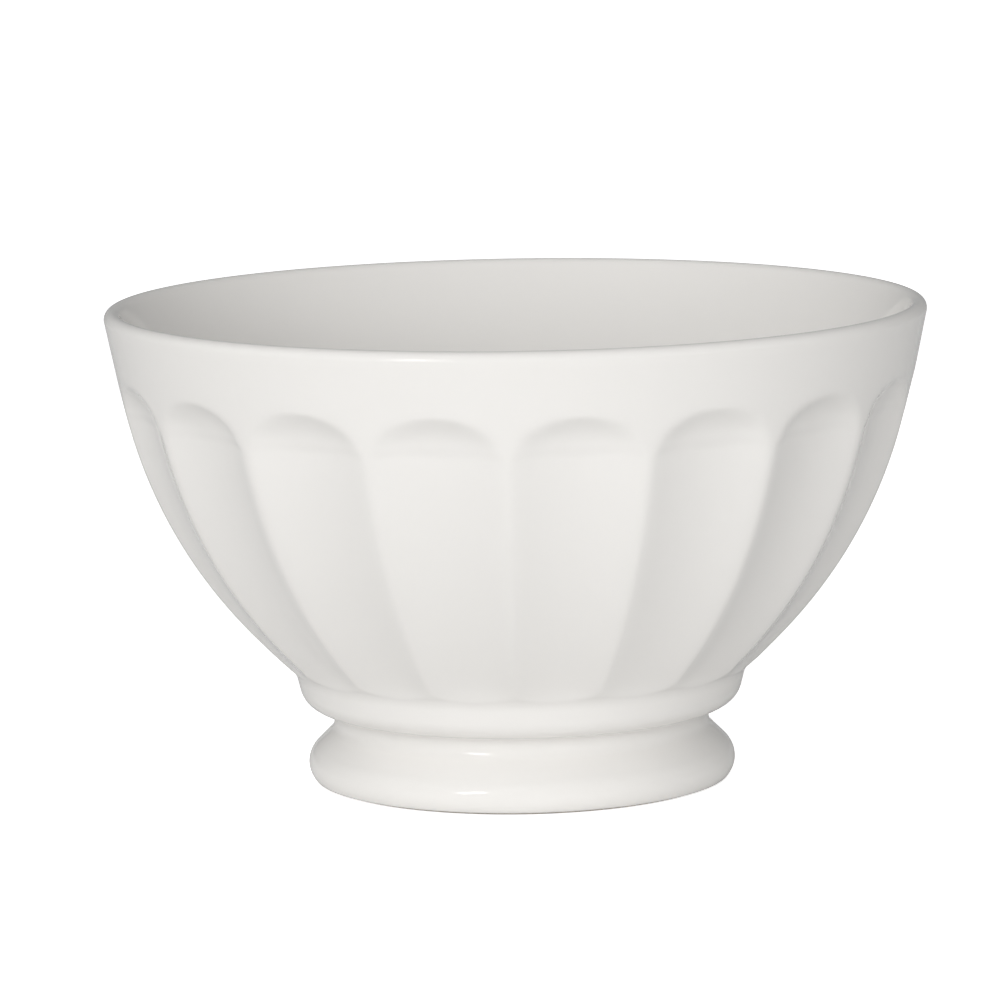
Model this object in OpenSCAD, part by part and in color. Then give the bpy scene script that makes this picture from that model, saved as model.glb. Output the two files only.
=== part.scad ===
// Footed latte bowl: a pressed, fluted bowl luted onto a hollow foot ring and glazed all over,
// with only the ring it stands on left bare. The origin is on the axis, on the table.
// The wall's outside glaze is fused into the bowl's own solid. The glaze poured inside, the skin
// dipped over the foot and the skin under the bowl are solids of their own.
// Every outline is written for the finished, glazed surface. Its inset argument is a depth below
// that surface: 0 is the glaze, glaze_t its underside, clay_inset the clay.

/* [Bowl] */
// Outer diameter of the rim
rim_d = 140; // [130:1:155]
// Height from the table to the crest of the rim
bowl_h = 82; // [78:1:95]
// Thickness of the rounded lip
lip_t = 2.9; // [2.4:0.1:3.6]
// Lean of the plain band below the rim, in degrees from upright
band_lean = 11.5; // [9:0.5:14]
// Height of the band, from the crest of the rim down to the curved wall
band_h = 15.5; // [13.5:0.5:20]
// Thickness of the curved wall at the ridges
wall_t = 6.2; // [5.8:0.1:7.5]
// Height of the inside floor at the centre
floor_z = 15; // [14:0.5:18]
// Lean at which the inside bends off towards the floor, as a share of the wall's lean at the foot
floor_turn_share = 0.89; // [0.8:0.01:0.95]
// Flat middle of the floor, as a share of its reach
floor_flat_share = 0.5; // [0.3:0.05:0.7]

/* [Flutes] */
// Scooped flutes around the wall
flute_count = 18; // [15:1:22]
// How far the top of each flute's arch lies below the crest of the rim
arch_drop = 12; // [10:0.5:15]
// How far the arch falls from its top to the ridges beside it
arch_rise = 4.2; // [3:0.1:6]
// Radius of the scoop, seen along the flute
scoop_r = 54; // [46:1:70]
// How far the ridges between the scoops lie below the plain wall
ridge_drop = 0.3; // [0.2:0.05:0.5]
// Slope of the ledge under the band, in degrees up and outward
ledge_slope = 42; // [20:1:50]
// Turn of the first ridge about the axis, in degrees
flute_turn = -1.4; // [-11:0.1:11]

/* [Foot] */
// Diameter of the collar's top, where the flutes end
collar_d = 77.4; // [74:0.2:82]
// Height of the collar's top
collar_z = 19.2; // [18.4:0.1:21]
// Lean of the collar's side, in degrees from upright
collar_lean = 14; // [10:1:24]
// Radius of the rounded bead under the collar
bead_r = 3.7; // [3:0.1:4]
// Height of the bead's centre
bead_z = 16.7; // [16.2:0.1:17.4]
// How far the waist is set in from the collar's top
waist_in = 6.5; // [5.8:0.1:7.2]
// Radius of the hollow curve at the waist
groove_r = 2; // [1.5:0.1:2.2]
// How far the widest part of the foot is set in from the collar's top
flare_in = 2.05; // [1:0.05:3]
// Radius of the foot's rounded side
bulge_r = 4.05; // [3.4:0.05:4.6]
// Height of the foot's widest part
bulge_z = 3.2; // [2.8:0.1:3.3]
// Slope of the flare between the waist and the foot, in degrees
flare_slope = 45; // [38:1:52]
// Radius of the two edges beside the ring the bowl stands on
edge_r = 1.2; // [0.8:0.1:1.3]
// Thickness of the foot's wall at the table
foot_wall = 6.25; // [5.5:0.05:7]
// Thickness of the foot's wall at the waist
waist_wall = 6; // [5.2:0.1:6.8]
// Height of the hollow under the bowl
well_z = 9.6; // [8.6:0.1:10.4]

/* [Slip and glaze] */
// Thickness of the slip joint between bowl and foot, measured upright
slip_t = 0.4; // [0.2:0.05:0.8]
// Width of the flat land on which the collar carries the bowl
land_w = 4.2; // [3.6:0.1:4.8]
// Thickness of the fired glaze
glaze_t = 0.25; // [0.2:0.01:0.35]
// Clearance between the clay and the glaze around it
glaze_fit = 0.02; // [0.01:0.01:0.04]
// Height at which the glaze stops above the table
glaze_line = 1.4; // [1.3:0.1:2.2]

/* [Hidden] */
$fn = 128;
// Straight steps in each small curve of the lip and the foot, and in each long curve of the bowl
arc_steps = 10;
long_steps = 24;
// How far a cut runs past what it cuts
overrun = 1;
clay_colour = [0.86, 0.83, 0.78];
slip_colour = [0.80, 0.76, 0.70];
glaze_colour = [0.93, 0.92, 0.90];
inside_colour = [0.92, 0.90, 0.88];

// Depth of the clay below the finished surface
clay_inset = glaze_t + glaze_fit;

// A unit step at an angle, and one square to a surface that leans out from upright.
function turned(angle) = [cos(angle), sin(angle)];
function outward(lean) = turned(-lean);

// Points along an arc. A first of 1 leaves out a point that the arc before it ends on.
function arc(centre, r, from, to, first = 0, steps = arc_steps) =
    [for (k = [first : steps]) centre + r * turned(from + (to - from) * k / steps)];

// The lip and the straight band below it, as [radius, height].
lip_r = lip_t / 2;
lip_c = [rim_d / 2 - lip_r, bowl_h - lip_r];
band_top = lip_c + lip_r * outward(band_lean);
band_z = bowl_h - band_h;
band_foot = band_top - (band_top[1] - band_z) * [tan(band_lean), 1];
arch_z = bowl_h - arch_drop;

// The wall's curve carries on from the band and ends on the collar's top.
collar_r = collar_d / 2;
wall_run = band_foot - [collar_r, collar_z];
wall_curve_r = wall_run * wall_run / (2 * wall_run * outward(band_lean));
wall_c = band_foot - wall_curve_r * outward(band_lean);

// Radius of the plain wall at a height, and its lean from upright there.
function wall_at(z) = z > band_z
    ? band_foot[0] + (z - band_z) * tan(band_lean)
    : wall_c[0] + sqrt(wall_curve_r ^ 2 - (wall_c[1] - z) ^ 2);
function lean_at(z) = z > band_z ? band_lean : asin((wall_c[1] - z) / wall_curve_r);

// The inside: a curve that keeps wall_t to the outside, straight up to the lip, and a bend that
// levels out into the flat floor.
inner_r = wall_curve_r - wall_t;
inner_lean = atan2(wall_c[1] - lip_c[1], lip_c[0] - wall_c[0])
    + acos((inner_r + lip_r) / norm(lip_c - wall_c));
floor_lean = floor_turn_share * lean_at(collar_z);
function floor_edge(inset) = wall_c + (inner_r + inset) * outward(floor_lean);
function floor_reach(inset) = floor_edge(inset)[0]
    - (floor_edge(inset)[1] - floor_z + inset) * tan(floor_lean);

// Points along a bend from one point to another that leaves each of them towards the corner.
function bend(from, corner, to) = [for (k = [0 : long_steps]) let (t = k / long_steps)
    (1 - t) ^ 2 * from + 2 * t * (1 - t) * corner + t ^ 2 * to];

// The flutes. Each scoop is deep enough for its neighbours to meet just below the plain wall, and
// its floor follows a circle through three heights.
half_pitch = 180 / flute_count;
function flute_depth(z) = scoop_r - sqrt(scoop_r ^ 2 - (wall_at(z) * sin(half_pitch)) ^ 2)
    + wall_at(z) * (1 - cos(half_pitch)) * cos(lean_at(z)) + ridge_drop;
function flute_floor(z) = [wall_at(z), z] - flute_depth(z) * outward(lean_at(z));

// Centre of the circle through three points, from the squares of their distances.
function turned_square(p) = [p[1], -p[0]];
function circle_centre(a, b, c) =
    (a * a * turned_square(b - c) + b * b * turned_square(c - a) + c * c * turned_square(a - b))
        / (a * turned_square(b - c) + b * turned_square(c - a) + c * turned_square(a - b));
path_c = circle_centre(flute_floor(collar_z), flute_floor((collar_z + arch_z) / 2),
    flute_floor(arch_z));
path_r = norm(flute_floor(arch_z) - path_c);

arch_sag = arch_rise * cos(ledge_slope);
arch_half_w = wall_at(arch_z) * sin(half_pitch);
arch_r = (arch_half_w ^ 2 + arch_sag ^ 2) / (2 * arch_sag);

// The foot, measured inward from the collar's top so that it follows the bowl.
waist_r = collar_r - waist_in;
foot_r = collar_r - flare_in;
well_r = foot_r - foot_wall;
well_top_r = waist_r - waist_wall;
seat_r = collar_r - land_w;
base_z = well_z + clay_inset;

function collar_at(z, inset) = collar_r - inset / cos(collar_lean) + (z - collar_z) * tan(collar_lean);
function well_at(z) = well_r + (well_top_r - well_r) * (z - edge_r) / (well_z - edge_r);

bead_c = [collar_at(bead_z, bead_r), bead_z];
groove_x = waist_r + groove_r;
upper_groove_c = [groove_x, bead_z - sqrt((bead_r + groove_r) ^ 2 - (bead_c[0] - groove_x) ^ 2)];
bead_end = atan2(upper_groove_c[1] - bead_c[1], upper_groove_c[0] - bead_c[0]);
bulge_c = [foot_r - bulge_r, bulge_z];
flare_step = turned(flare_slope);
lower_groove_c = [groove_x,
    (bulge_c * flare_step + bulge_r + groove_r - groove_x * flare_step[0]) / flare_step[1]];

function edge_c(inset) = [
    bulge_c[0] + sqrt((bulge_r - inset - edge_r) ^ 2 - (bulge_z - edge_r) ^ 2), edge_r];
function bulge_end(inset) = atan2(edge_r - bulge_z, edge_c(inset)[0] - bulge_c[0]);

// The foot's outer side, from a height on the collar down to the table.
function foot_side(inset, top) = concat(
    [[collar_at(top, inset), top]],
    arc(bead_c, bead_r - inset, -collar_lean, bead_end),
    arc(upper_groove_c, groove_r + inset, bead_end + 180, 180, 1),
    arc(lower_groove_c, groove_r + inset, 180, 180 + flare_slope),
    arc(bulge_c, bulge_r - inset, flare_slope, bulge_end(inset)),
    arc(edge_c(inset), edge_r, bulge_end(inset), -90, 1));

// Where the slip joint meets the clay: a cone between the well and the collar's land.
well_edge_c = [well_r + clay_inset + edge_r, edge_r];
seat_inner = [well_at(base_z) + clay_inset, base_z];
seat_outer = [seat_r, collar_z - slip_t];
bowl_base_r = seat_inner[0]
    - slip_t * (seat_outer[0] - seat_inner[0]) / (seat_outer[1] - seat_inner[1]);

// Outline of the whole bowl above the collar as if it were filled, up to the crest of the lip.
module wall_fill() {
    polygon(concat([[0, collar_z]],
        arc(wall_c, wall_curve_r, -lean_at(collar_z), -band_lean, steps = long_steps),
        arc(lip_c, lip_r, -band_lean, 90), [[0, bowl_h]]));
}

// Outline of what the bowl holds, up the inside of the lip to its crest and past it.
module cavity_fill(inset) {
    polygon(concat([[0, floor_z - inset]],
        bend([floor_flat_share * floor_reach(inset), floor_z - inset],
            [floor_reach(inset), floor_z - inset], floor_edge(inset)),
        arc(wall_c, inner_r + inset, -floor_lean, -inner_lean, 1, long_steps),
        arc(lip_c, lip_r - inset, 180 - inner_lean, 90),
        [[lip_c[0], bowl_h + overrun], [0, bowl_h + overrun]]));
}

// Outline of the whole foot as if it were filled, from the table up to the collar's top.
module foot_fill(inset) {
    polygon(concat([[0, collar_z]], foot_side(inset, collar_z), [[0, 0]]));
}

// One scoop a flute: a ring of the scoop's own round section, kept below the arch and above the
// collar's glaze.
module flute_cutters() {
    for (k = [0 : flute_count - 1])
        rotate([0, 0, flute_turn + (2 * k + 1) * half_pitch])
            intersection() {
                translate([path_c[0], 0, path_c[1]])
                    rotate([90, 0, 0])
                        rotate_extrude()
                            translate([path_r + scoop_r, 0])
                                circle(r = scoop_r);
                translate([wall_at(arch_z), 0, arch_z])
                    rotate([0, -ledge_slope, 0])
                        translate([0, 0, -arch_r])
                            rotate([0, 90, 0])
                                cylinder(r = arch_r, h = 2 * bowl_h, center = true);
                translate([0, -rim_d / 2, collar_z + glaze_t])
                    cube([rim_d, rim_d, bowl_h]);
            }
}

module bowl_body() {
    color(glaze_colour)
        difference() {
            rotate_extrude()
                difference() {
                    union() {
                        wall_fill();
                        polygon([[0, base_z], [bowl_base_r, base_z], [seat_r, collar_z],
                            [0, collar_z]]);
                    }
                    cavity_fill(clay_inset);
                }
            flute_cutters();
        }
}

module foot_ring() {
    color(clay_colour)
        rotate_extrude()
            polygon(concat(foot_side(clay_inset, seat_outer[1]),
                arc(well_edge_c, edge_r, -90, -180), [seat_inner, seat_outer]));
}

module slip_seam() {
    color(slip_colour)
        rotate_extrude()
            polygon([[bowl_base_r, base_z], [seat_r, collar_z],
                [collar_at(collar_z, clay_inset), collar_z],
                [collar_at(seat_outer[1], clay_inset), seat_outer[1]], seat_outer, seat_inner]);
}

module inside_glaze() {
    color(inside_colour)
        rotate_extrude()
            difference() {
                cavity_fill(glaze_t);
                cavity_fill(0);
            }
}

module foot_glaze() {
    color(glaze_colour)
        rotate_extrude()
            difference() {
                foot_fill(0);
                foot_fill(glaze_t);
                translate([0, -overrun])
                    square([rim_d, overrun + glaze_line]);
            }
}

module underside_glaze() {
    color(glaze_colour)
        rotate_extrude()
            polygon([[0, well_z], [well_top_r, well_z], [well_at(glaze_line), glaze_line],
                [well_at(glaze_line) + glaze_t, glaze_line],
                [well_at(well_z + glaze_t) + glaze_t, well_z + glaze_t], [0, well_z + glaze_t]]);
}

bowl_body();
foot_ring();
slip_seam();
inside_glaze();
foot_glaze();
underside_glaze();
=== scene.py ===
"""Looks of a white, glossy, footed latte bowl with arch-topped flutes, in a white studio.

The glaze skins, the clay under them and the bare ring under the foot are spun from measured
outlines. The flutes are scooped out of the spun wall by one depth rule, so glaze and clay follow
each other. Sizes are in metres, with the origin on the axis at table height.
"""

import logging
import math
from dataclasses import dataclass
from enum import Enum

import bmesh
import bpy
from mathutils import Matrix, Quaternion, Vector

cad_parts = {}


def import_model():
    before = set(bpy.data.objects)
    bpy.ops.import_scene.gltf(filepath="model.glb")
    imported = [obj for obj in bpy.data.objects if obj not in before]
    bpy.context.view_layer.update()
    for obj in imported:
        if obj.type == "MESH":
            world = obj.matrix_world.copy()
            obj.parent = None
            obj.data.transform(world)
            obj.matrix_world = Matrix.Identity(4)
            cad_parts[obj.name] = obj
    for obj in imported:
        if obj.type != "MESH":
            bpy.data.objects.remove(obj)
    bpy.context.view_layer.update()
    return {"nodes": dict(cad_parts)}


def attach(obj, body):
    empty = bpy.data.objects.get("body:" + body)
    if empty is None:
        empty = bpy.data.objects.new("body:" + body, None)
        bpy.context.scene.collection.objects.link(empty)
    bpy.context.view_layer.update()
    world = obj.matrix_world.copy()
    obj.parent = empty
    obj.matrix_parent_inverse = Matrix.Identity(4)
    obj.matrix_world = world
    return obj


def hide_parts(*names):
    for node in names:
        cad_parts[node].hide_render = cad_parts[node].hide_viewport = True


LOG = logging.getLogger("latte_bowl")
MM = 0.001

Point = tuple[float, float]
Place = tuple[float, float, float]

# Lengths and shares below this count as zero
TINY = 1e-6
# Points of an outline that lie closer than this are one point
CLOSEST = 0.02 * MM
MERGE_WITHIN = 0.004 * MM
# Edges that turn more than this are drawn sharp
SHARP_EDGE = math.radians(50)
LEAST_BEND_STEPS = 8
# Steps round the axis: in each flute of the skin, and in all for the other pieces
SKIN_STEPS_A_FLUTE = 16
WELL_STEPS = 128
CLAY_STEPS = 192
# Factors on the spacing of hidden surfaces, for their outside and their inside
GLAZE_BACK_COARSE = (2.2, 2.5)
CLAY_COARSE = (1.6, 1.8)


class Slot(Enum):
    """Names of material slots, listed beside the pieces."""

    CLAY = "bare_clay"
    GLAZE = "glaze"


@dataclass(frozen=True)
class BowlSizes:
    """Sizes of the bowl above its foot, taken on the glazed surface."""

    rim_r: float = 70.0 * MM
    height: float = 82.0 * MM
    lip_r: float = 1.45 * MM
    band_lean: float = math.radians(11.5)
    band_z: float = 66.5 * MM
    wall: float = 6.2 * MM
    floor_z: float = 15.0 * MM
    floor_turn_share: float = 0.89
    floor_flat_share: float = 0.5


@dataclass(frozen=True)
class FluteSizes:
    """Sizes of the scooped flutes and of the soft edges that the glaze leaves on them.

    The last three say how strongly points gather at the ridges, and how far above or below the
    plain wall a point may lie for the flutes to move it.
    """

    count: int = 18
    turn: float = math.radians(-1.4)
    scoop_r: float = 35.0 * MM
    land_high: float = 0.9 * MM
    land_low: float = 0.3 * MM
    arch_z: float = 71.1 * MM
    arch_h: float = 8.0 * MM
    ledge_w: float = 7.0 * MM
    ledge_soft: float = 0.6 * MM
    ledge_soft_share: float = 0.3
    edge_soft_high: float = 0.24 * MM
    edge_soft_low: float = 0.75 * MM
    fade: float = 2.4 * MM
    runout_slope: float = 0.5
    runout_soft: float = 1.5 * MM
    gather: float = 0.5
    reach_above: float = 0.1 * MM
    reach_below: float = 1.2 * MM


@dataclass(frozen=True)
class FootSizes:
    """Sizes of the foot: collar, bead, waist, flare and the hollow under the bowl."""

    collar_r: float = 38.7 * MM
    collar_z: float = 19.2 * MM
    collar_lean: float = math.radians(14.0)
    bead_r: float = 4.2 * MM
    bead_z: float = 17.0 * MM
    waist_in: float = 6.5 * MM
    groove_r: float = 2.4 * MM
    flare_in: float = 2.05 * MM
    bulge_r: float = 4.05 * MM
    bulge_z: float = 3.2 * MM
    flare_slope: float = math.radians(45.0)
    edge_r: float = 1.2 * MM
    wall: float = 6.25 * MM
    waist_wall: float = 6.0 * MM
    well_z: float = 9.6 * MM
    glaze_line: float = 0.45 * MM
    crease_soft: float = 1.3 * MM
    crease_share: float = 0.95
    well_soft: float = 1.2 * MM


@dataclass(frozen=True)
class HiddenSizes:
    """Sizes under the glazed surface: the glaze's thickness, the clay and the seat between its parts."""

    glaze: float = 0.25 * MM
    clay_inset: float = 0.40 * MM
    slip: float = 0.4 * MM
    seat_w: float = 4.2 * MM
    seat_in: float = 0.8 * MM
    wall_above_seat: float = 0.4 * MM
    base_gap: float = 0.2 * MM


@dataclass(frozen=True)
class Spacing:
    """Distances between the points of an outline, which are closer where the shape turns more.

    The last three say where the wall changes from one spacing to the next: how far above the
    collar, from which height for the arches, and how far up the band.
    """

    edge: float = 0.2 * MM
    bulge: float = 0.4 * MM
    groove: float = 0.3 * MM
    bead: float = 0.35 * MM
    wall: float = 1.25 * MM
    arches: float = 0.42 * MM
    band: float = 1.6 * MM
    lip: float = 0.25 * MM
    inner_wall: float = 2.4 * MM
    floor_turn: float = 2.0 * MM
    floor: float = 3.5 * MM
    well: float = 1.0 * MM
    roof: float = 3.0 * MM
    collar_run: float = 3.0 * MM
    arches_z: float = 61.5 * MM
    band_run: float = 6.5 * MM


def turned(angle: float) -> Point:
    """Gives the unit step at an angle from the outward direction.

    Args:
        angle: Angle in radians, positive upward.

    Returns:
        The step as (outward, up).
    """
    return math.cos(angle), math.sin(angle)


def along(start: Point, step: Point, length: float) -> Point:
    """Moves a point along a step.

    Args:
        start: The point.
        step: The direction to move in.
        length: How far to move.

    Returns:
        The moved point.
    """
    return start[0] + step[0] * length, start[1] + step[1] * length


def arc(centre: Point, radius: float, start: float, end: float, spacing: float) -> list[Point]:
    """Lists points along an arc, both ends included.

    Args:
        centre: Centre of the arc.
        radius: Radius of the arc.
        start: First angle in radians.
        end: Last angle in radians.
        spacing: Wanted distance between points.

    Returns:
        The points in order.
    """
    steps = max(2, math.ceil(abs(end - start) * radius / spacing))
    return [
        along(centre, turned(start + (end - start) * k / steps), radius) for k in range(steps + 1)
    ]


def line(start: Point, end: Point, spacing: float) -> list[Point]:
    """Lists points along a straight line, both ends included.

    Args:
        start: First point.
        end: Last point.
        spacing: Wanted distance between points.

    Returns:
        The points in order.
    """
    steps = max(1, math.ceil(math.dist(start, end) / spacing))
    return [
        (start[0] + (end[0] - start[0]) * k / steps, start[1] + (end[1] - start[1]) * k / steps)
        for k in range(steps + 1)
    ]


def bend(start: Point, corner: Point, end: Point, spacing: float) -> list[Point]:
    """Lists points along a quadratic curve that leaves both ends towards a corner.

    Args:
        start: First point.
        corner: The point that both ends of the curve head for.
        end: Last point.
        spacing: Wanted distance between points.

    Returns:
        The points in order.
    """
    steps = max(LEAST_BEND_STEPS, math.ceil(math.dist(start, end) / spacing))
    curve = []
    for k in range(steps + 1):
        t = k / steps
        curve.append(
            tuple(start[i] * (1 - t) ** 2 + 2 * corner[i] * t * (1 - t) + end[i] * t**2 for i in (0, 1))
        )
    return curve


def soft_corner(before: Point, corner: Point, after: Point, reach: float) -> list[Point]:
    """Rounds a corner with a short quadratic curve.

    Args:
        before: A point on the side that leads to the corner.
        corner: The corner.
        after: A point on the side that leaves it.
        reach: How far from the corner the curve starts and ends.

    Returns:
        The points of the curve, both ends included.
    """

    def toward(point: Point) -> Point:
        """Finds where the curve leaves the side through a point."""
        length = math.dist(point, corner)
        step = ((point[0] - corner[0]) / length, (point[1] - corner[1]) / length)
        return along(corner, step, reach)

    return bend(toward(before), corner, toward(after), reach / 4)


def joined(*runs: list[Point]) -> list[Point]:
    """Joins runs of points and leaves out points that repeat.

    Args:
        *runs: Runs of points in order.

    Returns:
        One run of points.
    """
    out: list[Point] = []
    for run in runs:
        for point in run:
            if not out or math.dist(point, out[-1]) > CLOSEST:
                out.append(point)
    return out


class Outline:
    """Outlines of the bowl as (radius, height), whose waist is a little softer than bare clay's."""

    def __init__(self, bowl: BowlSizes, foot: FootSizes, spacing: Spacing) -> None:
        """Works out the centres that every outline shares.

        Args:
            bowl: Sizes above the foot.
            foot: Sizes of the foot.
            spacing: Distances between points.
        """
        self.bowl = bowl
        self.foot = foot
        self.spacing = spacing
        self.lip_c: Point = (bowl.rim_r - bowl.lip_r, bowl.height - bowl.lip_r)
        out = turned(-bowl.band_lean)
        top = along(self.lip_c, out, bowl.lip_r)
        drop = top[1] - bowl.band_z
        self.band_foot: Point = (top[0] - drop * math.tan(bowl.band_lean), bowl.band_z)
        run = (self.band_foot[0] - foot.collar_r, self.band_foot[1] - foot.collar_z)
        self.curve_r = (run[0] ** 2 + run[1] ** 2) / (2 * (run[0] * out[0] + run[1] * out[1]))
        self.wall_c = along(self.band_foot, out, -self.curve_r)
        self.inner_r = self.curve_r - bowl.wall
        self.inner_lean = math.atan2(
            self.wall_c[1] - self.lip_c[1], self.lip_c[0] - self.wall_c[0]
        ) + math.acos((self.inner_r + bowl.lip_r) / math.dist(self.lip_c, self.wall_c))
        self.collar_lean_above = self.lean_at(foot.collar_z)
        self.floor_lean = bowl.floor_turn_share * self.collar_lean_above

    def wall_at(self, z: float) -> float:
        """Gives the plain wall's radius at a height.

        Args:
            z: Height above the table.

        Returns:
            The radius of the glazed surface before the flutes.
        """
        if z > self.bowl.band_z:
            return self.band_foot[0] + (z - self.bowl.band_z) * math.tan(self.bowl.band_lean)
        return self.wall_c[0] + math.sqrt(self.curve_r**2 - (self.wall_c[1] - z) ** 2)

    def lean_at(self, z: float) -> float:
        """Gives the plain wall's lean from upright at a height, in radians."""
        if z > self.bowl.band_z:
            return self.bowl.band_lean
        return math.asin(min(1.0, (self.wall_c[1] - z) / self.curve_r))

    def path_at(self, z: float) -> float:
        """Gives the length of the plain wall's outline from the collar up to a height."""
        at = max(self.collar_lean_above - self.lean_at(z), 0.0) * self.curve_r
        if z > self.bowl.band_z:
            at += (z - self.bowl.band_z) / math.cos(self.bowl.band_lean)
        return at

    def foot_side(self, inset: float) -> list[Point]:
        """Lists the foot's outer side from the table's edge up to just below the collar's top.

        Args:
            inset: Depth below the glazed surface.

        Returns:
            Points from the lowest edge arc up to the collar's straight side.
        """
        f, gap = self.foot, self.spacing
        shift = inset / math.cos(f.collar_lean)

        def collar(z: float, more: float = 0.0) -> Point:
            """Finds the collar's side at a height."""
            across = (z - f.collar_z) * math.tan(f.collar_lean)
            return f.collar_r - more / math.cos(f.collar_lean) + across, z

        bead_c = collar(f.bead_z, f.bead_r)
        groove_x = f.collar_r - f.waist_in + f.groove_r
        upper = (
            groove_x,
            f.bead_z - math.sqrt((f.bead_r + f.groove_r) ** 2 - (bead_c[0] - groove_x) ** 2),
        )
        bead_end = math.atan2(upper[1] - bead_c[1], upper[0] - bead_c[0])
        bulge_c = (f.collar_r - f.flare_in - f.bulge_r, f.bulge_z)
        step = turned(f.flare_slope)
        reach = bulge_c[0] * step[0] + bulge_c[1] * step[1] + f.bulge_r + f.groove_r
        lower = (groove_x, (reach - groove_x * step[0]) / step[1])
        edge_run = math.sqrt((f.bulge_r - inset - f.edge_r) ** 2 - (f.bulge_z - f.edge_r) ** 2)
        edge_c = (bulge_c[0] + edge_run, f.edge_r)
        bulge_end = math.atan2(edge_c[1] - bulge_c[1], edge_c[0] - bulge_c[0])
        top = (collar(f.collar_z)[0] - shift, f.collar_z)
        return joined(
            arc(edge_c, f.edge_r, -math.pi / 2, bulge_end, gap.edge),
            arc(bulge_c, f.bulge_r - inset, bulge_end, f.flare_slope, gap.bulge),
            arc(lower, f.groove_r + inset, math.pi + f.flare_slope, math.pi, gap.groove),
            arc(upper, f.groove_r + inset, math.pi, bead_end + math.pi, gap.groove),
            arc(bead_c, f.bead_r - inset, bead_end, -f.collar_lean, gap.bead),
            [top],
        )

    def outside(self, inset: float, coarse: float = 1.0) -> list[Point]:
        """Lists the outside from the table up to the crest of the lip, before the flutes.

        Args:
            inset: Depth below the glazed surface.
            coarse: Factor on the spacing between points.

        Returns:
            Points from the foot's lowest edge to the crest.
        """
        b, f, gap = self.bowl, self.foot, self.spacing
        radius = self.curve_r - inset
        start = -math.asin((self.wall_c[1] - f.collar_z) / radius)
        corner = along(self.wall_c, turned(start), radius)
        foot = self.foot_side(inset)[:-1]
        near = along(self.wall_c, turned(start + gap.collar_run / radius), radius)
        reach = min(f.crease_soft, math.dist(foot[-1], corner) * f.crease_share)
        low = start + f.crease_soft / radius
        above_collar = low + gap.collar_run / radius
        arches = -math.asin((self.wall_c[1] - gap.arches_z) / radius)
        band_foot = along(self.wall_c, turned(-b.band_lean), radius)
        band_top = along(self.lip_c, turned(-b.band_lean), b.lip_r - inset)
        above = along(band_foot, turned(math.pi / 2 - b.band_lean), gap.band_run)
        return joined(
            foot,
            soft_corner(foot[-1], corner, near, reach),
            arc(self.wall_c, radius, low, above_collar, gap.bead * coarse),
            arc(self.wall_c, radius, above_collar, arches, gap.wall * coarse),
            arc(self.wall_c, radius, arches, -b.band_lean, gap.arches * coarse),
            line(band_foot, above, gap.arches * coarse),
            line(above, band_top, gap.band * coarse),
            arc(self.lip_c, b.lip_r - inset, -b.band_lean, math.pi / 2, gap.lip * coarse),
        )

    def inside(self, inset: float, coarse: float = 1.0) -> list[Point]:
        """Lists the inside from the crest of the lip down to the axis.

        Args:
            inset: Depth below the glazed surface.
            coarse: Factor on the spacing between points.

        Returns:
            Points from the crest to the middle of the floor.
        """
        b, gap = self.bowl, self.spacing
        lean = self.inner_lean
        radius = self.inner_r + inset
        low = b.floor_z - inset
        edge = along(self.wall_c, turned(-self.floor_lean), radius)
        corner = (edge[0] - (edge[1] - low) * math.tan(self.floor_lean), low)
        flat = (corner[0] * b.floor_flat_share, low)
        return joined(
            arc(self.lip_c, b.lip_r - inset, math.pi / 2, math.pi - lean, gap.lip * coarse),
            line(
                along(self.lip_c, turned(math.pi - lean), b.lip_r - inset),
                along(self.wall_c, turned(-lean), radius),
                gap.inner_wall * coarse,
            ),
            arc(self.wall_c, radius, -lean, -self.floor_lean, gap.inner_wall * coarse),
            bend(edge, corner, flat, gap.floor_turn * coarse),
            line(flat, (0.0, low), gap.floor * coarse),
        )

    def well_at(self, z: float) -> float:
        """Gives the radius of the hollow under the bowl at a height."""
        f = self.foot
        low = f.collar_r - f.flare_in - f.wall
        high = f.collar_r - f.waist_in - f.waist_wall
        return low + (high - low) * (z - f.edge_r) / (f.well_z - f.edge_r)

    def underside(self, inset: float) -> list[Point]:
        """Lists the hollow under the bowl from its glaze line up to the axis.

        Args:
            inset: Depth below the glazed surface.

        Returns:
            Points from the low end of the hollow's wall to the middle of its roof.
        """
        f, gap = self.foot, self.spacing
        roof = f.well_z + inset
        low = (self.well_at(f.glaze_line) + inset, f.glaze_line)
        corner = (self.well_at(roof) + inset, roof)
        inner = (0.0, roof)
        curve = soft_corner(low, corner, inner, f.well_soft)
        return joined(line(low, curve[0], gap.well), curve, line(curve[-1], inner, gap.roof))


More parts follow.
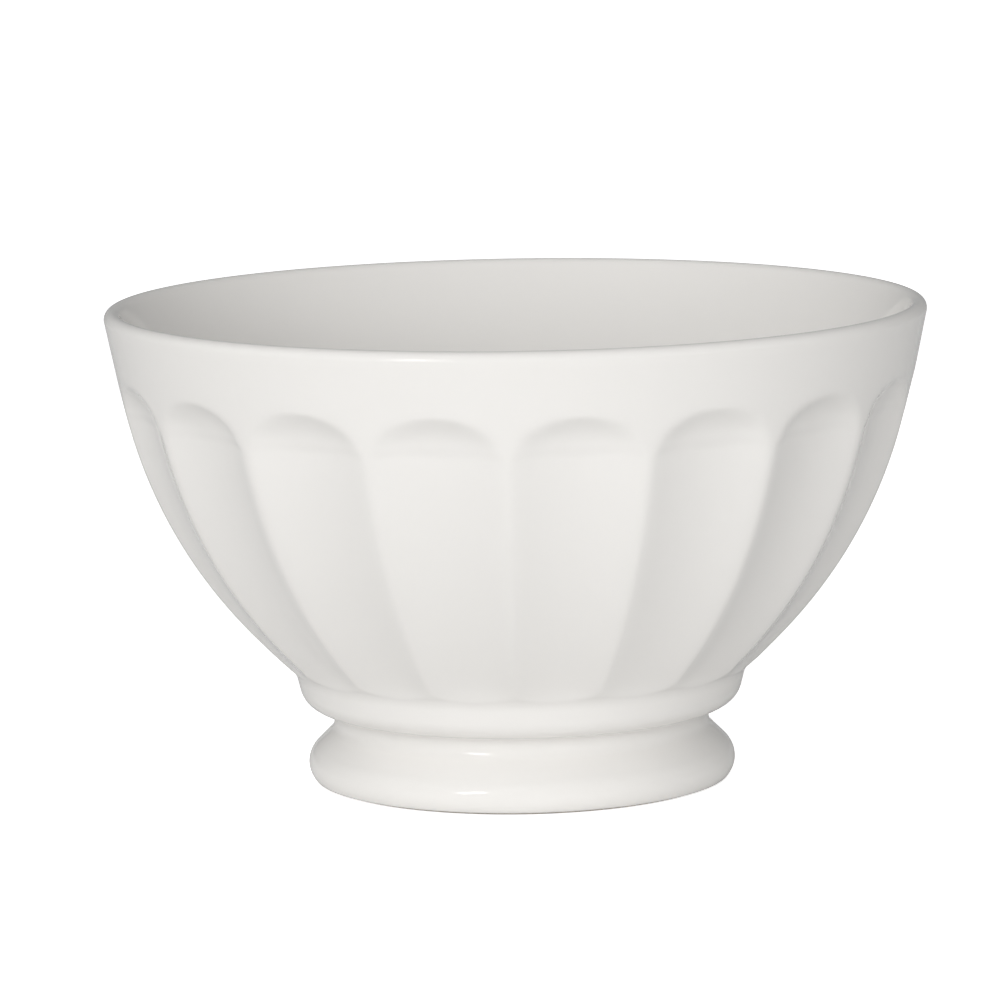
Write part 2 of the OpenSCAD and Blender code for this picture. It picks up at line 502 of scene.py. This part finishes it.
class Flutes:
    """The depth rule that scoops the flutes out of the plain wall."""

    def __init__(self, sizes: FluteSizes, outline: Outline) -> None:
        """Places the flutes' rounded upper ends.

        Args:
            sizes: Sizes of the flutes.
            outline: Outline of the wall they are cut from.
        """
        self.sizes = sizes
        self.outline = outline
        self.pitch = 2 * math.pi / sizes.count
        self.crest_path = outline.path_at(sizes.arch_z)
        self.spring_path = self.crest_path - sizes.arch_h

    def depth(self, turn: float, z: float) -> float:
        """Gives the depth of the scooped surface below the plain wall.

        Args:
            turn: Angle from a ridge, as a share of the flutes' pitch from 0 to 1.
            z: Height of the plain wall's point.

        Returns:
            The depth in metres, square to the wall.
        """
        s = self.sizes
        path = self.outline.path_at(z)
        if path <= 0.0 or path > self.crest_path + s.fade:
            return 0.0
        radius = self.outline.wall_at(z)
        share = min(path / self.crest_path, 1.0)
        wide = radius * self.pitch / 2 - (s.land_low + (s.land_high - s.land_low) * share)
        across = abs(turn - 0.5) * self.pitch * radius
        curve = 1 / s.scoop_r + math.cos(self.outline.lean_at(z)) / radius
        full = wide**2 * curve / 2
        cut = full - across**2 * curve / 2
        rise = (path - self.spring_path) / s.arch_h
        if rise > 0.0:
            ratio = math.hypot(across / wide, rise)
            inward = (1 - ratio) * ratio / math.hypot(across / wide**2, rise / s.arch_h)
            ledge = full * (1 - max(1 - inward / s.ledge_w, 0.0) ** 2)
            cut = soft_least(cut, ledge, s.ledge_soft * smooth_step(rise / s.ledge_soft_share))
        edge_soft = s.edge_soft_low + (s.edge_soft_high - s.edge_soft_low) * share
        cut = (cut + math.hypot(cut, edge_soft)) / 2
        cut *= 1.0 - smooth_step((path - self.crest_path) / s.fade)
        return max(soft_least(cut, path * s.runout_slope, s.runout_soft), 0.0)


def smooth_step(t: float) -> float:
    """Eases from 0 to 1 as t goes from 0 to 1."""
    t = min(max(t, 0.0), 1.0)
    return t * t * (3 - 2 * t)


def soft_least(a: float, b: float, soft: float) -> float:
    """Gives the lesser of two values with a soft change between them."""
    return (a + b - math.hypot(a - b, soft)) / 2


class SpunPiece:
    """A closed piece spun about the axis from an outline."""

    def __init__(self, name: str, outline: list[Point], steps: int, flutes: Flutes | None) -> None:
        """Keeps what the mesh is made from.

        Args:
            name: Name of the piece.
            outline: Points as (radius, height). It is closed, or both ends lie on the axis.
            steps: Steps round the axis.
            flutes: Depth rule for the wall, or None for a plain piece.
        """
        self.name = name
        self.outline = outline
        self.steps = steps
        self.flutes = flutes

    def build(self, material: bpy.types.Material) -> bpy.types.Object:
        """Spins the outline into a mesh object at the origin.

        Args:
            material: Finish of the piece.

        Returns:
            The new object, linked to the scene.
        """
        bm = bmesh.new()
        start = self.flutes.sizes.turn if self.flutes else 0.0
        ahead = Vector((math.sin(start), -math.cos(start), 0.0))
        verts = [bm.verts.new(ahead * r + Vector((0.0, 0.0, z))) for r, z in self.outline]
        edges = [bm.edges.new(pair) for pair in zip(verts, verts[1:])]
        if self.outline[0][0] > 0.0:
            edges.append(bm.edges.new((verts[-1], verts[0])))
        bmesh.ops.spin(
            bm,
            geom=verts + edges,
            cent=(0.0, 0.0, 0.0),
            axis=(0.0, 0.0, 1.0),
            dvec=(0.0, 0.0, 0.0),
            angle=2 * math.pi,
            steps=self.steps,
            use_merge=True,
        )
        bmesh.ops.remove_doubles(bm, verts=bm.verts, dist=MERGE_WITHIN)
        if self.flutes:
            for vert in bm.verts:
                vert.co = self.scooped(vert.co)
        bmesh.ops.recalc_face_normals(bm, faces=bm.faces)
        for face in bm.faces:
            face.smooth = True
        for edge in bm.edges:
            edge.smooth = edge.calc_face_angle(0.0) < SHARP_EDGE
        mesh = bpy.data.meshes.new(self.name)
        bm.to_mesh(mesh)
        bm.free()
        mesh.materials.append(material)
        piece = bpy.data.objects.new(self.name, mesh)
        bpy.context.collection.objects.link(piece)
        LOG.info("%s: %d faces", self.name, len(mesh.polygons))
        return piece

    def scooped(self, place: Vector) -> Vector:
        """Moves a point of the spun wall to where the flutes put it.

        Points gather towards the ridges, and those near the outside of the wall sink by the depth
        of the flute there.

        Args:
            place: Point of the plain spun surface.

        Returns:
            The moved point.
        """
        flutes, outline = self.flutes, self.flutes.outline
        radius = math.hypot(place.x, place.y)
        if radius < TINY:
            return place
        sizes = flutes.sizes
        share = (math.atan2(place.x, -place.y) - sizes.turn) / flutes.pitch
        whole = math.floor(share + TINY)
        part = share - whole
        part -= sizes.gather / (2 * math.pi) * math.sin(2 * math.pi * part)
        angle = (whole + part) * flutes.pitch + sizes.turn
        height = place.z
        run = (radius - outline.wall_c[0], height - outline.wall_c[1])
        lean = -math.atan2(run[1], run[0])
        if lean > outline.bowl.band_lean:
            below = outline.curve_r - math.hypot(*run)
        else:
            lean = outline.bowl.band_lean
            out = turned(-lean)
            band_foot = outline.band_foot
            below = (band_foot[0] - radius) * out[0] + (band_foot[1] - height) * out[1]
        step = turned(-lean)
        on_wall = height + step[1] * below
        if -sizes.reach_above < below < sizes.reach_below and on_wall > outline.foot.collar_z:
            sink = flutes.depth(part, on_wall)
            radius -= sink * step[0]
            height -= sink * step[1]
        return Vector((radius * math.sin(angle), -radius * math.cos(angle), height))


@dataclass(frozen=True)
class GlazeFinish:
    """Finish of the fired white glaze, with the strength, scale and height of its ripples."""

    colour: tuple[float, float, float] = (0.80, 0.785, 0.760)
    roughness: float = 0.05
    index: float = 1.52
    ripple: float = 0.02
    ripple_scale: float = 45.0
    ripple_height: float = 2.0 * MM


@dataclass(frozen=True)
class ClayFinish:
    """Finish of bare fired clay: both colours of its speckles, where they start, and its grain."""

    colour: tuple[float, float, float] = (0.62, 0.565, 0.49)
    dark: tuple[float, float, float] = (0.50, 0.45, 0.385)
    dark_to: float = 0.38
    light_from: float = 0.62
    roughness: float = 0.82
    grain: float = 0.12
    grain_scale: float = 900.0
    grain_height: float = 0.3 * MM


@dataclass(frozen=True)
class TableFinish:
    """Finish of the white table, whose glow only the camera sees, so that the ground stays white."""

    grey: float = 0.95
    glow: float = 0.8
    roughness: float = 0.9


SLIP_FINISH = ClayFinish(colour=(0.55, 0.50, 0.42), dark=(0.46, 0.41, 0.35))


class Finishes:
    """Builds the procedural materials of the bowl and its studio."""

    def __init__(self) -> None:
        """Builds the groups that the finishes and the lamps share."""
        self.mottle = self.mottle_group()
        self.fade = self.fade_group()

    def mottle_group(self) -> bpy.types.ShaderNodeTree:
        """Builds the node group that gives a mottled value and a bumped normal.

        Returns:
            A group with scale, strength and distance inputs.
        """
        group = bpy.data.node_groups.new("mottle", "ShaderNodeTree")
        face = group.interface
        face.new_socket("Scale", in_out="INPUT", socket_type="NodeSocketFloat")
        face.new_socket("Strength", in_out="INPUT", socket_type="NodeSocketFloat")
        face.new_socket("Distance", in_out="INPUT", socket_type="NodeSocketFloat")
        face.new_socket("Value", in_out="OUTPUT", socket_type="NodeSocketFloat")
        face.new_socket("Normal", in_out="OUTPUT", socket_type="NodeSocketVector")
        nodes, links = group.nodes, group.links
        ins = nodes.new("NodeGroupInput")
        outs = nodes.new("NodeGroupOutput")
        where = nodes.new("ShaderNodeTexCoord")
        noise = nodes.new("ShaderNodeTexNoise")
        noise.inputs["Detail"].default_value = 3.0
        noise.inputs["Roughness"].default_value = 0.5
        bump = nodes.new("ShaderNodeBump")
        links.new(where.outputs["Object"], noise.inputs["Vector"])
        links.new(ins.outputs["Scale"], noise.inputs["Scale"])
        links.new(noise.outputs["Fac"], bump.inputs["Height"])
        links.new(ins.outputs["Strength"], bump.inputs["Strength"])
        links.new(ins.outputs["Distance"], bump.inputs["Distance"])
        links.new(noise.outputs["Fac"], outs.inputs["Value"])
        links.new(bump.outputs["Normal"], outs.inputs["Normal"])
        return group

    def fade_group(self) -> bpy.types.ShaderNodeTree:
        """Builds the node group that fades a lamp's face towards its edges.

        Across each side the strength follows x * (1 - x), which averages a sixth from 0 to 1.

        Returns:
            A group whose strength is a hump in both directions, with an average of 1.
        """
        hump_lift = 6.0
        group = bpy.data.node_groups.new("fade_to_edges", "ShaderNodeTree")
        group.interface.new_socket("Strength", in_out="OUTPUT", socket_type="NodeSocketFloat")
        nodes, links = group.nodes, group.links
        outs = nodes.new("NodeGroupOutput")
        place = nodes.new("ShaderNodeNewGeometry")
        parts = nodes.new("ShaderNodeSeparateXYZ")
        links.new(place.outputs["Parametric"], parts.inputs["Vector"])
        product = nodes.new("ShaderNodeMath")
        product.operation = "MULTIPLY"
        for index, side in enumerate("XY"):
            rest = nodes.new("ShaderNodeMath")
            rest.operation = "SUBTRACT"
            rest.inputs[0].default_value = 1.0
            hump = nodes.new("ShaderNodeMath")
            hump.operation = "MULTIPLY"
            even = nodes.new("ShaderNodeMath")
            even.operation = "MULTIPLY"
            even.inputs[1].default_value = hump_lift
            links.new(parts.outputs[side], rest.inputs[1])
            links.new(parts.outputs[side], hump.inputs[0])
            links.new(rest.outputs["Value"], hump.inputs[1])
            links.new(hump.outputs["Value"], even.inputs[0])
            links.new(even.outputs["Value"], product.inputs[index])
        links.new(product.outputs["Value"], outs.inputs["Strength"])
        return group

    def start(self, name: str) -> tuple[bpy.types.Material, bpy.types.Node, bpy.types.Node]:
        """Starts a material with one principled shader and one mottle group.

        Args:
            name: Name of the material.

        Returns:
            The material, its shader and its mottle group.
        """
        material = bpy.data.materials.new(name)
        material.use_nodes = True
        shader = material.node_tree.nodes["Principled BSDF"]
        group = material.node_tree.nodes.new("ShaderNodeGroup")
        group.node_tree = self.mottle
        return material, shader, group

    def glaze(self, finish: GlazeFinish) -> bpy.types.Material:
        """Builds the glossy glaze with the faint waviness that a dipped glaze has.

        Args:
            finish: The glaze's colour, gloss and ripples.

        Returns:
            The material.
        """
        material, shader, group = self.start("white_glaze")
        group.inputs["Scale"].default_value = finish.ripple_scale
        group.inputs["Strength"].default_value = finish.ripple
        group.inputs["Distance"].default_value = finish.ripple_height
        shader.inputs["Base Color"].default_value = (*finish.colour, 1.0)
        shader.inputs["Roughness"].default_value = finish.roughness
        shader.inputs["IOR"].default_value = finish.index
        material.node_tree.links.new(group.outputs["Normal"], shader.inputs["Normal"])
        return material

    def clay(self, name: str, finish: ClayFinish) -> bpy.types.Material:
        """Builds the matte, finely speckled look of bare clay.

        Args:
            name: Name of the material.
            finish: The clay's colours and grain.

        Returns:
            The material.
        """
        material, shader, group = self.start(name)
        links = material.node_tree.links
        ramp = material.node_tree.nodes.new("ShaderNodeValToRGB")
        ramp.color_ramp.elements[0].position = finish.dark_to
        ramp.color_ramp.elements[0].color = (*finish.dark, 1.0)
        ramp.color_ramp.elements[1].position = finish.light_from
        ramp.color_ramp.elements[1].color = (*finish.colour, 1.0)
        group.inputs["Scale"].default_value = finish.grain_scale
        group.inputs["Strength"].default_value = finish.grain
        group.inputs["Distance"].default_value = finish.grain_height
        shader.inputs["Roughness"].default_value = finish.roughness
        links.new(group.outputs["Value"], ramp.inputs["Fac"])
        links.new(ramp.outputs["Color"], shader.inputs["Base Color"])
        links.new(group.outputs["Normal"], shader.inputs["Normal"])
        return material

    def floor(self, finish: TableFinish) -> bpy.types.Material:
        """Builds the white table, which shines a little so that the picture's ground stays white.

        Args:
            finish: The table's grey value, glow and roughness.

        Returns:
            The material.
        """
        material = bpy.data.materials.new("white_table")
        material.use_nodes = True
        nodes, links = material.node_tree.nodes, material.node_tree.links
        shader = nodes["Principled BSDF"]
        shader.inputs["Base Color"].default_value = (finish.grey, finish.grey, finish.grey, 1.0)
        shader.inputs["Roughness"].default_value = finish.roughness
        shader.inputs["Specular IOR Level"].default_value = 0.0
        light = nodes.new("ShaderNodeLightPath")
        emit = nodes.new("ShaderNodeEmission")
        times = nodes.new("ShaderNodeMath")
        times.operation = "MULTIPLY"
        times.inputs[1].default_value = finish.glow
        add = nodes.new("ShaderNodeAddShader")
        links.new(light.outputs["Is Camera Ray"], times.inputs[0])
        links.new(times.outputs["Value"], emit.inputs["Strength"])
        links.new(shader.outputs["BSDF"], add.inputs[0])
        links.new(emit.outputs["Emission"], add.inputs[1])
        links.new(add.outputs["Shader"], nodes["Material Output"].inputs["Surface"])
        return material


class Bowl:
    """All visible and hidden pieces of the bowl."""

    def __init__(
        self,
        bowl: BowlSizes = BowlSizes(),
        foot: FootSizes = FootSizes(),
        flute: FluteSizes = FluteSizes(),
        hidden: HiddenSizes = HiddenSizes(),
    ) -> None:
        """Sets up the outlines.

        Args:
            bowl: Sizes above the foot.
            foot: Sizes of the foot.
            flute: Sizes of the flutes.
            hidden: Sizes under the glazed surface.
        """
        self.outline = Outline(bowl, foot, Spacing())
        self.flutes = Flutes(flute, self.outline)
        self.hidden = hidden

    def trimmed(self, run: list[Point]) -> list[Point]:
        """Cuts off what lies below the glaze line.

        Args:
            run: Points that start at the table.

        Returns:
            The points from the glaze line on.
        """
        level = self.outline.foot.glaze_line
        for index, (low, high) in enumerate(zip(run, run[1:])):
            if low[1] <= level < high[1]:
                share = (level - low[1]) / (high[1] - low[1])
                return [(low[0] + (high[0] - low[0]) * share, level), *run[index + 1 :]]
        return run

    def glaze_skin(self) -> list[Point]:
        """Outlines the glaze from the floor inside, over the lip, down to the foot, and back."""
        thick = self.hidden.glaze
        coarse_out, coarse_in = GLAZE_BACK_COARSE
        face = self.trimmed(self.outline.outside(0.0)) + self.outline.inside(0.0)[1:]
        back = self.trimmed(self.outline.outside(thick, coarse_out))
        back += self.outline.inside(thick, coarse_in)[1:]
        return face[::-1] + back

    def underside_skin(self) -> list[Point]:
        """Outlines the glaze in the hollow under the bowl."""
        face = self.outline.underside(0.0)
        back = self.outline.underside(self.hidden.glaze)
        return face[::-1] + back

    def clay_body(self) -> list[Point]:
        """Outlines the clay of the bowl, from its base inside the foot up to the lip and back."""
        hidden, foot = self.hidden, self.outline.foot
        inset = hidden.clay_inset
        coarse_out, coarse_in = CLAY_COARSE
        level = foot.collar_z + hidden.wall_above_seat
        wall = [point for point in self.outline.outside(inset, coarse_out) if point[1] > level]
        base = foot.well_z + inset
        low = [
            (0.0, base),
            (self.outline.well_at(base) - hidden.base_gap, base),
            (foot.collar_r - hidden.seat_w, foot.collar_z),
            (wall[0][0] - hidden.seat_in, foot.collar_z),
        ]
        return low + wall + self.outline.inside(inset, coarse_in)[1:]

    def clay_foot(self) -> list[Point]:
        """Outlines the clay foot with its bare standing ring."""
        hidden, foot = self.hidden, self.outline.foot
        inset = hidden.clay_inset
        *side, top = self.outline.foot_side(inset)
        seat_z = foot.collar_z - hidden.slip
        seat = [
            (top[0] - hidden.slip * math.tan(foot.collar_lean), seat_z),
            (foot.collar_r - hidden.seat_w, seat_z),
        ]
        base = foot.well_z + inset
        well = self.outline.well_at(foot.edge_r) + inset
        edge_c = (well + foot.edge_r, foot.edge_r)
        edge = arc(edge_c, foot.edge_r, math.pi, 1.5 * math.pi, self.outline.spacing.edge)
        return side + seat + [(self.outline.well_at(base) + inset, base)] + edge

    def build(self, finishes: Finishes) -> None:
        """Builds every piece, hangs it under the root and hides the parts of the frame that it stands
        for.

        Args:
            finishes: Maker of the materials.
        """
        clay = finishes.clay("fired_clay", ClayFinish())
        glaze = finishes.glaze(GlazeFinish())
        skin_steps = SKIN_STEPS_A_FLUTE * self.flutes.sizes.count
        skin = SpunPiece("glaze_skin", self.glaze_skin(), skin_steps, self.flutes).build(glaze)
        well = SpunPiece("glaze_under_foot", self.underside_skin(), WELL_STEPS, None).build(glaze)
        body = SpunPiece("clay_bowl", self.clay_body(), CLAY_STEPS, self.flutes).build(clay)
        foot = SpunPiece("clay_foot", self.clay_foot(), CLAY_STEPS, None).build(clay)
        for piece, slot, nodes in (
            (skin, Slot.GLAZE, ("inside_glaze", "foot_glaze")),
            (well, Slot.GLAZE, ("underside_glaze",)),
            (body, Slot.CLAY, ("bowl_body",)),
            (foot, Slot.CLAY, ("foot_ring",)),
        ):
            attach(piece, "root")
            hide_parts(*nodes)


@dataclass(frozen=True)
class SoftBox:
    """One soft box: its place, size and power, its turn, and whether the glaze mirrors it."""

    name: str
    place: Place
    size: tuple[float, float]
    watts: float
    roll: float = 0.0
    mirrored: bool = False


@dataclass(frozen=True)
class CameraFit:
    """The camera as fitted to the photograph's outline, with angles in radians and a lens in mm."""

    place: Place = (0.0, -1.0, 0.1976)
    pitch: float = 0.1486
    yaw: float = -0.0031
    roll: float = -0.016
    lens: float = 212.7
    sensor: float = 36.0
    near: float = 0.05
    far: float = 50.0


SOFT_BOXES = (
    SoftBox("left_front_box", (-1.35, -1.6, 0.75), (1.5, 1.3), 5.4),
    SoftBox("high_front_box", (-0.3, -1.5, 1.7), (1.8, 1.2), 3.6),
    SoftBox("right_low_box", (1.3, -1.7, 0.25), (1.6, 0.7), 9.2),
    SoftBox("low_front_box", (-0.1, -2.2, 0.3), (1.8, 0.8), 1.6),
    SoftBox("left_side_box", (-1.9, 0.2, 0.7), (1.3, 1.3), 5.6),
    SoftBox("mid_front_box", (-0.1, -2.1, 0.8), (1.8, 1.0), 11.8),
    SoftBox("bright_box", (-0.86, -1.69, 0.41), (0.66, 0.34), 4.6, math.radians(33), True),
)
# What every soft box faces, in the middle of the bowl
AIM = (0.0, 0.0, 0.04)
WORLD_GREY = 0.34
TABLE_R = 6.0
TABLE_SIDES = 96


class Studio:
    """The white surroundings: table, background, lamps and camera."""

    def __init__(self, finishes: Finishes) -> None:
        """Keeps the maker of the materials.

        Args:
            finishes: Maker of the materials.
        """
        self.finishes = finishes

    def table(self) -> None:
        """Lays a large white table under the foot."""
        bm = bmesh.new()
        bmesh.ops.create_circle(bm, cap_ends=True, segments=TABLE_SIDES, radius=TABLE_R)
        mesh = bpy.data.meshes.new("white_table")
        bm.to_mesh(mesh)
        bm.free()
        mesh.materials.append(self.finishes.floor(TableFinish()))
        floor = bpy.data.objects.new("white_table", mesh)
        bpy.context.collection.objects.link(floor)

    def lamps(self) -> None:
        """Hangs the soft boxes."""
        for box in SOFT_BOXES:
            data = bpy.data.lights.new(box.name, "AREA")
            data.shape = "RECTANGLE"
            data.size, data.size_y = box.size
            data.energy = box.watts
            self.feather(data)
            item = bpy.data.objects.new(box.name, data)
            item.location = box.place
            way = Vector(AIM) - Vector(box.place)
            turn = way.to_track_quat("-Z", "Y") @ Quaternion((0.0, 0.0, 1.0), box.roll)
            item.rotation_euler = turn.to_euler()
            item.visible_glossy = box.mirrored
            bpy.context.collection.objects.link(item)

    def feather(self, lamp: bpy.types.Light) -> None:
        """Lets a soft box fade towards its edges, so that its mirror image has no hard edge.

        Args:
            lamp: The lamp, which keeps the light that it gives in all.
        """
        lamp.use_nodes = True
        nodes, links = lamp.node_tree.nodes, lamp.node_tree.links
        group = nodes.new("ShaderNodeGroup")
        group.node_tree = self.finishes.fade
        links.new(group.outputs["Strength"], nodes["Emission"].inputs["Strength"])

    def surroundings(self, grey: float) -> None:
        """Makes the background white for the camera and grey for what lights the bowl.

        Args:
            grey: Brightness of the surroundings that the bowl is lit by and reflects.
        """
        world = bpy.data.worlds.new("studio")
        bpy.context.scene.world = world
        world.use_nodes = True
        nodes, links = world.node_tree.nodes, world.node_tree.links
        back = nodes["Background"]
        back.inputs["Color"].default_value = (1.0, 1.0, 1.0, 1.0)
        light = nodes.new("ShaderNodeLightPath")
        mix = nodes.new("ShaderNodeMapRange")
        mix.inputs["To Min"].default_value = grey
        mix.inputs["To Max"].default_value = 1.0
        links.new(light.outputs["Is Camera Ray"], mix.inputs["Value"])
        links.new(mix.outputs["Result"], back.inputs["Strength"])

    def camera(self, fit: CameraFit) -> None:
        """Sets up the camera.

        Args:
            fit: Its place, angles and lens.
        """
        flat = math.cos(fit.pitch)
        ahead = Vector((math.sin(fit.yaw) * flat, math.cos(fit.yaw) * flat, -math.sin(fit.pitch)))
        right = Vector((math.cos(fit.yaw), -math.sin(fit.yaw), 0.0))
        up = right.cross(ahead)
        across = right * math.cos(fit.roll) + up * math.sin(fit.roll)
        above = up * math.cos(fit.roll) - right * math.sin(fit.roll)
        data = bpy.data.cameras.new("camera")
        data.sensor_width = fit.sensor
        data.lens = fit.lens
        data.clip_start, data.clip_end = fit.near, fit.far
        item = bpy.data.objects.new("camera", data)
        turn = Matrix((across, above, -ahead)).transposed().to_4x4()
        item.matrix_world = Matrix.Translation(fit.place) @ turn
        bpy.context.collection.objects.link(item)
        bpy.context.scene.camera = item

    def build(self) -> None:
        """Builds the whole studio."""
        self.table()
        self.lamps()
        self.surroundings(WORLD_GREY)
        self.camera(CameraFit())
        bpy.context.scene.view_settings.view_transform = "Standard"


def dress_seam(seam: bpy.types.Object, slip: bpy.types.Material) -> None:
    """Gives the slip joint, the only part of the frame that stays, its finish.

    Args:
        seam: The slip joint as the frame holds it.
        slip: Its material.
    """
    seam.data.materials.clear()
    seam.data.materials.append(slip)
    LOG.info("%s: dressed", seam.name)


def main() -> None:
    """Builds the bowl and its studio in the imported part's frame."""
    logging.basicConfig(level=logging.INFO, format="%(name)s %(message)s")
    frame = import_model()
    finishes = Finishes()
    Bowl().build(finishes)
    dress_seam(frame["nodes"]["slip_seam"], finishes.clay("fired_slip", SLIP_FINISH))
    Studio(finishes).build()


if __name__ == "__main__":
    main()
